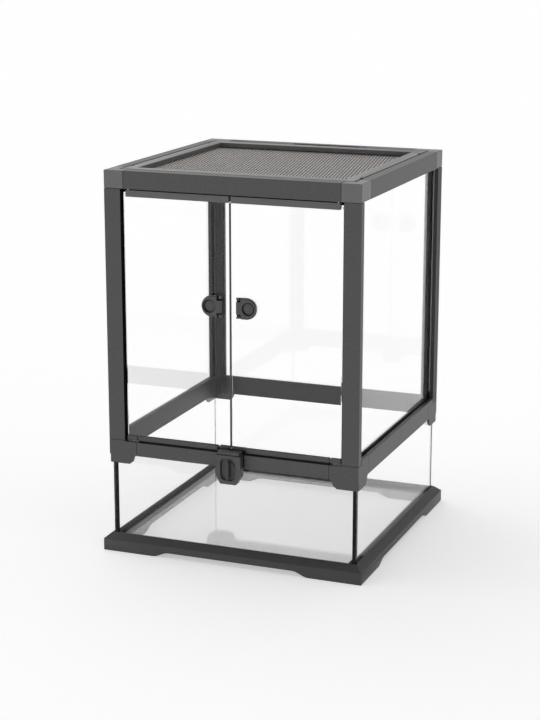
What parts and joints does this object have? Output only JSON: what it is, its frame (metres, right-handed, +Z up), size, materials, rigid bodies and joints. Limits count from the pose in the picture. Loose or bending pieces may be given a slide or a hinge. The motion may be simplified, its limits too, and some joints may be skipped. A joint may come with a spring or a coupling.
{
  "type": "reptile terrarium",
  "caption": "Front-opening glass terrarium: low glass tank on a footed base, framed upper panes, two hinged doors with a turn lock, lift-out screen lid and a cable port.",
  "frame": {"origin": "centre of the upper frame's outline, on the surface that the feet stand on", "axes": "+Z up, +X to the right seen from the front, +Y to the back; the doors face -Y"},
  "size_m": [0.32, 0.3245, 0.45],
  "materials": {
    "clear_glass": "clear float glass with a faint green edge",
    "black_silicone": "tooled black silicone",
    "rubber_seal": "soft dark seal strip",
    "grey_frame_plastic": "dark grey extruded plastic with a fine brushed grain",
    "grey_corner_plastic": "mid grey moulded plastic, smooth and slightly satin",
    "grey_base_plastic": "dark grey moulded plastic with a fine texture",
    "grey_moulded_plastic": "dark grey moulded plastic",
    "black_knob_plastic": "near-black satin plastic",
    "fly_screen": "fine slotted sheet, coated brownish grey",
    "steel_fixings": "plain steel"
  },
  "bodies": {
    "frame": {"base_tray": "grey_base_plastic", "tank_floor_glass": "clear_glass", "tank_front_glass": "clear_glass", "tank_back_glass": "clear_glass", "tank_left_glass": "clear_glass", "tank_right_glass": "clear_glass", "tank_silicone": "black_silicone", "mid_rail_front": "grey_frame_plastic", "mid_rail_back": "grey_frame_plastic", "mid_rail_left": "grey_frame_plastic", "mid_rail_right": "grey_frame_plastic", "mid_corner_front_left": "grey_corner_plastic", "mid_corner_front_right": "grey_corner_plastic", "mid_corner_back_left": "grey_corner_plastic", "mid_corner_back_right": "grey_corner_plastic", "post_front_left": "grey_frame_plastic", "post_front_right": "grey_frame_plastic", "post_back_left": "grey_frame_plastic", "post_back_right": "grey_frame_plastic", "side_glass_left": "clear_glass", "side_glass_right": "clear_glass", "back_glass": "clear_glass", "top_rail_front": "grey_frame_plastic", "top_rail_back": "grey_frame_plastic", "top_rail_left": "grey_frame_plastic", "top_rail_right": "grey_frame_plastic", "top_corner_front_left": "grey_corner_plastic", "top_corner_front_right": "grey_corner_plastic", "top_corner_back_left": "grey_corner_plastic", "top_corner_back_right": "grey_corner_plastic", "lock_housing": "grey_moulded_plastic", "lock_back_plate": "grey_moulded_plastic", "lock_screws": "steel_fixings"},
    "door_left": {"door_left_glass": "clear_glass", "door_left_top_strip": "grey_moulded_plastic", "door_left_bottom_strip": "grey_moulded_plastic", "door_left_hinge_shoe": "grey_moulded_plastic", "door_left_hinge_pins": "steel_fixings", "door_left_keeper": "grey_moulded_plastic", "door_left_handle": "grey_moulded_plastic", "door_left_handle_cap": "grey_moulded_plastic", "door_left_handle_back": "grey_moulded_plastic", "door_left_handle_screw": "steel_fixings", "door_seal": "rubber_seal"},
    "door_right": {"door_right_glass": "clear_glass", "door_right_top_strip": "grey_moulded_plastic", "door_right_bottom_strip": "grey_moulded_plastic", "door_right_hinge_shoe": "grey_moulded_plastic", "door_right_hinge_pins": "steel_fixings", "door_right_keeper": "grey_moulded_plastic", "door_right_handle": "grey_moulded_plastic", "door_right_handle_cap": "grey_moulded_plastic", "door_right_handle_back": "grey_moulded_plastic", "door_right_handle_screw": "steel_fixings"},
    "lock_knob": {"lock_knob": "black_knob_plastic"},
    "lock_bolt": {"lock_bolt": "grey_moulded_plastic"},
    "lid": {"lid_frame": "grey_moulded_plastic", "lid_screen": "fly_screen", "lid_retainer": "grey_moulded_plastic"},
    "cable_port_shutter": {"cable_port_shutter": "grey_moulded_plastic"}
  },
  "joints": [
    {"name": "left_door_hinge", "type": "hinge", "parent": "frame", "child": "door_left", "pos_m": [-0.125, -0.1476, 0.28], "axis": [0, 0, -1], "range_deg": [0, 105]},
    {"name": "right_door_hinge", "type": "hinge", "parent": "frame", "child": "door_right", "pos_m": [0.125, -0.1476, 0.28], "axis": [0, 0, 1], "range_deg": [0, 105]},
    {"name": "lock_knob_turn", "type": "hinge", "parent": "frame", "child": "lock_knob", "pos_m": [0, -0.1588, 0.1178], "axis": [0, 1, 0], "range_deg": [0, 90]},
    {"name": "lock_bolt_slide", "type": "slide", "parent": "frame", "child": "lock_bolt", "axis": [0, 0, 1], "range_m": [0, 0.004]},
    {"name": "lid_lift", "type": "slide", "parent": "frame", "child": "lid", "axis": [0, 0, 1], "range_m": [0, 0.05]},
    {"name": "cable_port_slide", "type": "slide", "parent": "frame", "child": "cable_port_shutter", "axis": [1, 0, 0], "range_m": [0, 0.042]}
  ],
  "couplings": [
    {"joint": "lock_knob_turn", "follows": "lock_bolt_slide", "rad_per_m": 392.7}
  ]
}
